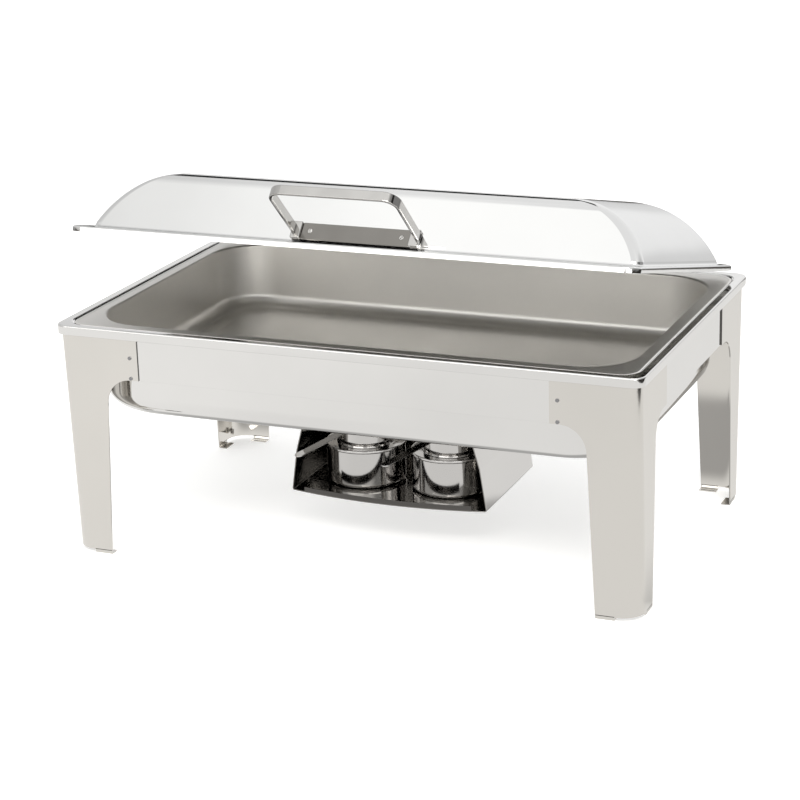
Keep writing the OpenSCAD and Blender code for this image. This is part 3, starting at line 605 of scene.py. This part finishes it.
def build_handle():
    inner = HANDLE_HALF - FOOT_W
    plate = (PLATE_GAP - inner, inner - PLATE_GAP)
    obj = panel_box("handle_base", plate, PLATE_OUT, PLATE_STEEL, 0.5)
    show(obj, "handle_base_plate", "lid")
    build_bar()
    for name, xs in (("left", (-HANDLE_HALF, -inner)), ("right", (inner, HANDLE_HALF))):
        obj = panel_box("handle_foot_%s" % name, xs, FOOT_OUT, HANDLE_PAINTED_SHADE, 0.9)
        show(obj, "lid_handle", "lid")


# ---------------------------------------------------------------- burner tray

TRAY_Z, TRAY_X, FOLD_X, TOP_X, TRAY_Y, BOW = 42.0, 97.0, 91.0, 78.5, 63.0, 11.0
FOLD_Z, TRAY_FLANGE_Z, TRAY_BACK_Z = 82.0, 125.7, 111.7
TRAY_T, TRAY_FLANGE_W, BACK_HALF, BACK_GAP = 1.0, 10, 82.0, 0.6
TRAY_LIP_HALF, TRAY_LIP_H, TRAY_LIP_FOOT = 83.0, 5.4, 0.5
BOW_R = (TRAY_X ** 2 + BOW ** 2) / (2 * BOW)


def bowed_front(x):
    """The floor's front edge, an arc that stands out by BOW in the middle."""
    return -TRAY_Y - BOW + BOW_R - math.sqrt(BOW_R ** 2 - x * x)


def tray_outline():
    """The bent sheet seen from the front: flange, leaning wall and floor, then their mirror image."""
    top = TRAY_FLANGE_Z + TRAY_T
    half = [(TOP_X + TRAY_FLANGE_W, top, 0), (TOP_X, top, 1.5), (FOLD_X, FOLD_Z, 3), (TRAY_X, TRAY_Z, 1.8)]
    corners = [(-x, z, 0, fillet) for x, z, fillet in half]
    corners += [(x, z, 0, fillet) for x, z, fillet in half[::-1]]
    pts = [(x, z) for x, z, _ in fillet_path(corners, 5)]
    dense = []
    for (xa, za), (xb, zb) in zip(pts, pts[1:]):
        # Only the floor is this long, and its bowed edge needs many points.
        parts = 40 if xb - xa > TRAY_X else 1
        dense += [(xa + (xb - xa) * k / parts, za + (zb - za) * k / parts) for k in range(parts)]
    return dense + pts[-1:]


def build_tray_sheet():
    outline, across = tray_outline(), 4
    row = across + 1
    verts, faces = [], []
    for x, z in outline:
        front = bowed_front(x) if z < TRAY_Z + 0.6 else -TRAY_Y
        verts += [(x, front + (TRAY_Y - front) * k / across, z) for k in range(row)]
    for i in range(len(outline) - 1):
        for k in range(across):
            faces.append((i * row + k, (i + 1) * row + k, (i + 1) * row + k + 1, i * row + k + 1))
    # The sheet's own faces, the tray's inside, are painted dark as shade; the solidified outer shell takes
    # the lighter tray steel.
    obj = new_object("tray_sheet", verts, faces, TRAY_PAINTED_SHADE)
    obj.data.materials.append(TRAY_STEEL)
    thick = obj.modifiers.new("thickness", "SOLIDIFY")
    thick.thickness = TRAY_T * MM
    thick.offset = 1.0
    thick.material_offset = 1
    soften(obj, 0.25, 2, 50)
    show(obj, "burner_tray", "tray")


def build_tray_back():
    """The plate between the two walls at the back."""
    foot, fold = TRAY_X - BACK_GAP, FOLD_X - BACK_GAP
    wall = [
        (-foot, TRAY_Z + BACK_GAP),
        (foot, TRAY_Z + BACK_GAP),
        (fold, FOLD_Z),
        (BACK_HALF, TRAY_BACK_Z),
        (-BACK_HALF, TRAY_BACK_Z),
        (-fold, FOLD_Z),
    ]
    verts = [(x, TRAY_Y - depth, z) for depth in (0.5, 0.5 + TRAY_T) for x, z in wall]
    faces = [tuple(range(6)), tuple(range(11, 5, -1))]
    faces += [face[::-1] for face in band(0, 1, 6)]
    # The back plate takes the same dark copy: painted shade.
    obj = new_object("tray_back", verts, faces, TRAY_PAINTED_SHADE)
    soften(obj, 0.2, 2)
    show(obj, "burner_tray", "tray")


def build_tray_lip():
    """The low lip that stands on the floor's bowed edge."""
    verts, faces = [], []
    count = 40
    low, high = TRAY_Z + TRAY_LIP_FOOT, TRAY_Z + TRAY_LIP_H
    for k in range(count + 1):
        x = -TRAY_LIP_HALF + 2 * TRAY_LIP_HALF * k / count
        y = bowed_front(x)
        verts += [(x, y, low), (x, y, high), (x, y + TRAY_T, high), (x, y + TRAY_T, low)]
    for k in range(count):
        faces += [face[::-1] for face in band(k, k + 1, 4)]
    faces += [(0, 1, 2, 3), tuple(count * 4 + a for a in (3, 2, 1, 0))]
    # Near-black steel on the lip: painted shade.
    obj = new_object("tray_lip", verts, faces, LIP_PAINTED_SHADE)
    soften(obj, 0.3, 2)
    show(obj, "burner_tray", "tray")


# ---------------------------------------------------------------- burners

BURNER_X, BURNER_Y = 43.0, -10.0
CUP_R, CUP_Z, CUP_TOP, NECK_R, NECK_TOP = 37.5, 43.0, 81.0, 27.0, 94.0
CUP_T, BEAD_OUT, BEAD_IN, SHOULDER_R = 0.8, 0.8, 0.9, 36.5
WINDOW_IN, WINDOW_OUT, WINDOW_HALF = 7.0, 21.0, 20
TOP_BORE, SHUTTER_BORE, SHUTTER_T = 2.02, 2.05, 0.9
SHUTTER_Z, SHUTTER_START = 94.3, 45.0
LEVER_REACH, LEVER_TURN = 89.0, math.radians(-113.0)
LEVER_HALF, LEVER_T, LEVER_DROP = 4.5, 0.9, 8.0


def build_cup(tag, centre):
    cup = fillet_path([
        (0.0, CUP_Z, 0, 0),
        (CUP_R, CUP_Z, 0, 4.5),
        (CUP_R, CUP_TOP - 3.2, 0, 0),
        (CUP_R + BEAD_OUT, CUP_TOP - 2.2, 0, 0.8),
        (CUP_R + BEAD_OUT, CUP_TOP, 0, 0.9),
        (CUP_R - BEAD_IN, CUP_TOP, 0, 0.6),
        (CUP_R - BEAD_IN, CUP_Z + CUP_T, 0, 3.8),
        (0.0, CUP_Z + CUP_T, 0, 0),
    ], 6)
    show(revolve("cup_%s" % tag, cup, centre, CUP_STEEL), "burner_cup_%s" % tag, "tray")


def build_top(tag, centre):
    """The raised neck on its shoulder, and the windowed disc that closes it."""
    shoulder = CUP_TOP - 2
    top = fillet_path([
        (WINDOW_OUT, NECK_TOP, 0, 0),
        (NECK_R, NECK_TOP, 0, 1.4),
        (NECK_R, shoulder + CUP_T, 0, 0.8),
        (SHOULDER_R, shoulder + CUP_T, 0, 0),
        (SHOULDER_R, shoulder, 0, 0),
        (NECK_R - CUP_T, shoulder, 0, 0.5),
        (NECK_R - CUP_T, NECK_TOP - CUP_T, 0, 0.6),
        (WINDOW_OUT, NECK_TOP - CUP_T, 0, 0),
    ], 5)
    show(revolve("top_%s" % tag, top, centre, CUP_STEEL), "burner_top_%s" % tag, "tray")
    rings = (TOP_BORE, WINDOW_IN, WINDOW_OUT + 0.05)
    obj = windowed_disc("top_disc_%s" % tag, centre, rings, NECK_TOP - CUP_T, CUP_T, 0.0)
    show(obj, "burner_top_%s" % tag, "tray")


def windowed_disc(name, centre, rings, z, thick, start):
    """A disc of rings of faces, with four windows between its second radius and its third."""
    steps = 72
    verts, faces = [], []
    for r in rings:
        for k in range(steps):
            t = math.radians(start + 360 * k / steps)
            verts.append((centre[0] + r * math.cos(t), centre[1] + r * math.sin(t), z))
    for i in range(len(rings) - 1):
        for k in range(steps):
            from_middle = (360 * (k + 0.5) / steps + 45) % 90 - 45
            if i == 1 and abs(from_middle) < WINDOW_HALF:
                continue
            m = (k + 1) % steps
            faces.append((i * steps + k, (i + 1) * steps + k, (i + 1) * steps + m, i * steps + m))
    obj = new_object(name, verts, faces, CUP_STEEL)
    solid = obj.modifiers.new("thickness", "SOLIDIFY")
    solid.thickness = thick * MM
    solid.offset = 1.0
    soften(obj, 0.15, 2, 50)
    return obj


def lever_stations():
    """(x, z, half width) along the lever: flat until it is past the neck, then down to a rounded tip."""
    knee, half = NECK_R + 2, LEVER_HALF
    fall = LEVER_DROP / (LEVER_REACH - knee)
    tip_x = LEVER_REACH - half
    tip_z = SHUTTER_Z - (tip_x - knee) * fall
    path = fillet_path([(NECK_R - 4, SHUTTER_Z, 0, 0), (knee, SHUTTER_Z, 0, 12.0), (tip_x, tip_z, 0, 0)], 6)
    stations = [(x, z, half) for x, z, _ in path]
    for k in range(1, 9):
        t = math.radians(10 * k)
        out = half * math.sin(t)
        stations.append((tip_x + out, tip_z - out * fall, half * math.cos(t)))
    return stations


def build_lever(tag, centre):
    stations = lever_stations()
    c, s = math.cos(LEVER_TURN), math.sin(LEVER_TURN)
    verts = []
    for lift in (0.0, LEVER_T):
        for x, z, w in stations:
            for v in (-w, w):
                verts.append((centre[0] + x * c - v * s, centre[1] + x * s + v * c, z + lift))
    n = len(stations)
    low = lambda k, side: 2 * k + side
    high = lambda k, side: 2 * n + 2 * k + side
    faces = []
    for k in range(n - 1):
        faces.append((low(k, 0), low(k, 1), low(k + 1, 1), low(k + 1, 0)))
        faces.append((high(k, 0), high(k + 1, 0), high(k + 1, 1), high(k, 1)))
        faces.append((low(k, 0), low(k + 1, 0), high(k + 1, 0), high(k, 0)))
        faces.append((low(k, 1), high(k, 1), high(k + 1, 1), low(k + 1, 1)))
    faces.append((low(0, 0), high(0, 0), high(0, 1), low(0, 1)))
    faces.append((low(n - 1, 0), low(n - 1, 1), high(n - 1, 1), high(n - 1, 0)))
    obj = new_object("lever_%s" % tag, verts, faces, CUP_STEEL)
    soften(obj, 0.2, 2)
    show(obj, "burner_shutter_%s" % tag, "shutter_%s" % tag)


def build_burner(tag, side):
    centre = (side * BURNER_X, BURNER_Y)
    build_cup(tag, centre)
    build_top(tag, centre)
    rings = (SHUTTER_BORE, WINDOW_IN, WINDOW_OUT, NECK_R - 1)
    obj = windowed_disc("shutter_disc_%s" % tag, centre, rings, SHUTTER_Z, SHUTTER_T, SHUTTER_START)
    show(obj, "burner_shutter_%s" % tag, "shutter_%s" % tag)
    build_lever(tag, centre)


LEGS = {
    "leg_front_left": (-1, -1),
    "leg_front_right": (1, -1),
    "leg_back_left": (-1, 1),
    "leg_back_right": (1, 1),
}
build_rim()
for node, (side, end) in LEGS.items():
    build_leg(node, side, end)
build_pans()
build_lid()
build_handle()
build_tray_sheet()
build_tray_back()
build_tray_lip()
build_burner("left", -1)
build_burner("right", 1)

# Small pieces keep their CAD meshes and take a finish and rounded edges.
SMALL = {
    SATIN: ("bracket_rivets", "leaf_rivets", "shutter_rivets", "handle_studs", "hinge_pin_left",
            "hinge_pin_right"),
    DARK: ("leg_rivets", "pin_clips", "friction_washers"),
    POLISHED: ("handle_cap_nuts", "hinge_bracket_left", "hinge_bracket_right", "lid_hinge_leaf_left",
               "lid_hinge_leaf_right", "tray_rail_left", "tray_rail_right"),
}
for material, small_nodes in SMALL.items():
    for node in small_nodes:
        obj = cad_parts[node]
        obj.data.materials.clear()
        obj.data.materials.append(material)
        soften(obj, 0.15 if "rivet" in node else 0.3, 2, 40)

# ---------------------------------------------------------------- stage, in metres


def plain(name, color, strength, rough=0.6, diffuse=1.0):
    """A surface that glows in its own colour; diffuse 0 leaves only the glow."""
    mat = bpy.data.materials.new(name)
    mat.use_nodes = True
    shader = mat.node_tree.nodes["Principled BSDF"]
    shader.inputs["Base Color"].default_value = (*[c * diffuse for c in color], 1)
    shader.inputs["Roughness"].default_value = rough
    shader.inputs["Specular IOR Level"].default_value = 0.5 * diffuse
    shader.inputs["Emission Color"].default_value = (*color, 1)
    shader.inputs["Emission Strength"].default_value = strength
    return mat


def stage_plane(name, corners, material, camera=True):
    mesh = bpy.data.meshes.new(name)
    mesh.from_pydata(corners, [], [(0, 1, 2, 3)])
    mesh.materials.append(material)
    obj = bpy.data.objects.new(name, mesh)
    bpy.context.scene.collection.objects.link(obj)
    obj.visible_camera = camera
    return obj


def level_corners(xs, ys, z):
    return [(xs[0], ys[0], z), (xs[1], ys[0], z), (xs[1], ys[1], z), (xs[0], ys[1], z)]


def table_light():
    """Pale table top, a little dimmer to the right and in the shade under the object."""
    mat = bpy.data.materials.new("table_pale")
    mat.use_nodes = True
    tree = mat.node_tree
    shader = tree.nodes["Principled BSDF"]
    shader.inputs["Base Color"].default_value = (0, 0, 0, 1)
    shader.inputs["Specular IOR Level"].default_value = 0.0
    split = tree.nodes.new("ShaderNodeSeparateXYZ")
    tree.links.new(tree.nodes.new("ShaderNodeTexCoord").outputs["Object"], split.inputs["Vector"])

    def smooth(value, low, high, out_low, out_high):
        return map_range(tree, value, low, high, out_low, out_high, "SMOOTHSTEP")

    across = smooth(split.outputs["X"], -0.38, -0.05, 1.0, 0.90)
    clear_x = smooth(math_node(tree, "ABSOLUTE", split.outputs["X"]), 0.22, 0.34, 0.0, 1.0)
    clear_y = smooth(math_node(tree, "ABSOLUTE", split.outputs["Y"]), 0.09, 0.16, 0.0, 1.0)
    shade = smooth(math_node(tree, "MAXIMUM", clear_x, clear_y), 0.0, 1.0, 0.50, 1.0)
    shader.inputs["Emission Color"].default_value = (0.985, 0.975, 0.955, 1)
    tree.links.new(math_node(tree, "MULTIPLY", across, shade), shader.inputs["Emission Strength"])
    return mat


FLOOR_HALF = 9
floor = stage_plane("floor", level_corners((-FLOOR_HALF, FLOOR_HALF), (-FLOOR_HALF, FLOOR_HALF), 0),
                    plain("floor_white", (0.93, 0.93, 0.925), 0.45))
floor.visible_glossy = False

# The steel mirrors this pale table top, which ends behind the object, and not the white floor.
table = stage_plane("table_reflected", level_corners((-1.6, 0.80), (-1.5, 0.92), -0.001), table_light(),
                    camera=False)
table.visible_diffuse = False
table.visible_shadow = False

# Colours from straight down (0) over level (0.5) to straight up (1), in front of the object and behind it.
FRONT_RAMP = (
    (0.0, (0.10, 0.095, 0.09)),
    (0.49, (0.12, 0.11, 0.10)),
    (0.505, (0.42, 0.40, 0.38)),
    (0.520, (0.70, 0.69, 0.67)),
    (0.565, (0.86, 0.85, 0.83)),
    (0.63, (0.95, 0.94, 0.92)),
    (0.76, (1.04, 1.04, 1.03)),
    (0.965, (1.04, 1.04, 1.03)),
    (0.975, (0.78, 0.78, 0.78)),
)
BEHIND_RAMP = (
    (0.0, (0.08, 0.075, 0.07)),
    (0.425, (0.08, 0.075, 0.07)),
    (0.437, (0.55, 0.55, 0.55)),
    (0.475, (0.62, 0.62, 0.62)),
    (0.505, (0.79, 0.79, 0.79)),
    (0.55, (0.83, 0.83, 0.83)),
    (1.0, (0.78, 0.78, 0.78)),
)


def room_light():
    """A colour for every direction: the two ramps blended by Y, darker far to the left and to the right."""
    world = bpy.data.worlds.new("studio")
    bpy.context.scene.world = world
    world.use_nodes = True
    tree = world.node_tree
    split = tree.nodes.new("ShaderNodeSeparateXYZ")
    tree.links.new(tree.nodes.new("ShaderNodeTexCoord").outputs["Generated"], split.inputs["Vector"])

    def ramp(stops):
        node = tree.nodes.new("ShaderNodeValToRGB")
        node.color_ramp.interpolation = "EASE"
        elements = node.color_ramp.elements
        while len(elements) > 1:
            elements.remove(elements[0])
        elements[0].position, elements[0].color = stops[0][0], (*stops[0][1], 1)
        for pos, color in stops[1:]:
            elements.new(pos).color = (*color, 1)
        tree.links.new(map_range(tree, split.outputs["Z"], -1.0, 1.0), node.inputs["Fac"])
        return node.outputs["Color"]

    room = tree.nodes.new("ShaderNodeMix")
    room.data_type = "RGBA"
    tree.links.new(map_range(tree, split.outputs["Y"], -0.25, 0.25), room.inputs["Factor"])
    tree.links.new(ramp(FRONT_RAMP), room.inputs["A"])
    tree.links.new(ramp(BEHIND_RAMP), room.inputs["B"])
    sides = tree.nodes.new("ShaderNodeMix")
    sides.data_type = "RGBA"
    sides.blend_type = "MULTIPLY"
    sides.inputs["Factor"].default_value = 1.0
    tree.links.new(room.outputs["Result"], sides.inputs["A"])
    left = map_range(tree, split.outputs["X"], -0.52, -0.38, 0.70, 1.0)
    right = map_range(tree, split.outputs["X"], 0.50, 0.68, 1.0, 0.35)
    tree.links.new(math_node(tree, "MULTIPLY", left, right), sides.inputs["B"])
    back = tree.nodes["Background"]
    back.inputs["Strength"].default_value = 1.2
    tree.links.new(sides.outputs["Result"], back.inputs["Color"])


room_light()

MIDDLE = (0.0, 0.0, 0.25)
BLACK_CARD, WARM_CARD, KEY_CARD = (0.03, 0.03, 0.03), (1.0, 0.99, 0.97), (1.0, 0.985, 0.955)


def studio_card(name, centre, width, height, color, strength):
    """A card that faces the object and that only mirrors see: dark ones draw edges, bright ones fill."""
    centre = Vector(centre)
    out = (Vector(MIDDLE) - centre).normalized()
    side = out.cross(Vector((0, 0, 1))).normalized() * (width / 2)
    rise = side.normalized().cross(out) * (height / 2)
    corners = [centre + side * a + rise * b for a, b in ((-1, -1), (1, -1), (1, 1), (-1, 1))]
    obj = stage_plane(name, corners, plain(name, color, strength, 1.0, 0.0), camera=False)
    obj.visible_shadow = False


studio_card("dark_card_behind", (-0.75, 1.75, 1.50), 1.3, 0.75, BLACK_CARD, 1.0)
studio_card("dark_card_right", (1.75, -0.10, 1.45), 0.35, 0.45, BLACK_CARD, 1.0)
studio_card("fill_card", (1.9, -2.1, 0.42), 1.7, 0.80, WARM_CARD, 3.0)
studio_card("front_card", (-0.60, -2.6, 0.66), 2.3, 0.62, WARM_CARD, 3.2)
studio_card("key_card", (0.55, -1.15, 1.45), 1.1, 0.8, KEY_CARD, 9.0)

LENS, SENSOR = 105.52, 36.0
YAW, PITCH, ROLL = math.radians(22.91), math.radians(18.13), math.radians(-1.74)
CAMERA_X, CAMERA_Y, CAMERA_Z = 0.79820, -1.91622, 0.79978


def build_camera():
    """The photo's camera, whose Y is measured from the rim's centre."""
    data = bpy.data.cameras.new("camera")
    data.lens = LENS
    data.sensor_width = SENSOR
    cam = bpy.data.objects.new("camera", data)
    bpy.context.scene.collection.objects.link(cam)
    forward = Vector((-math.sin(YAW) * math.cos(PITCH), math.cos(YAW) * math.cos(PITCH), -math.sin(PITCH)))
    level = Vector((math.cos(YAW), math.sin(YAW), 0))
    upright = level.cross(forward)
    right = level * math.cos(ROLL) + upright * math.sin(ROLL)
    up = upright * math.cos(ROLL) - level * math.sin(ROLL)
    place = Matrix.Translation((CAMERA_X, CAMERA_Y + SHIFT_Y * MM, CAMERA_Z))
    cam.matrix_world = place @ Matrix((right, up, -forward)).transposed().to_4x4()
    bpy.context.scene.camera = cam


build_camera()
bpy.context.scene.view_settings.view_transform = "Standard"
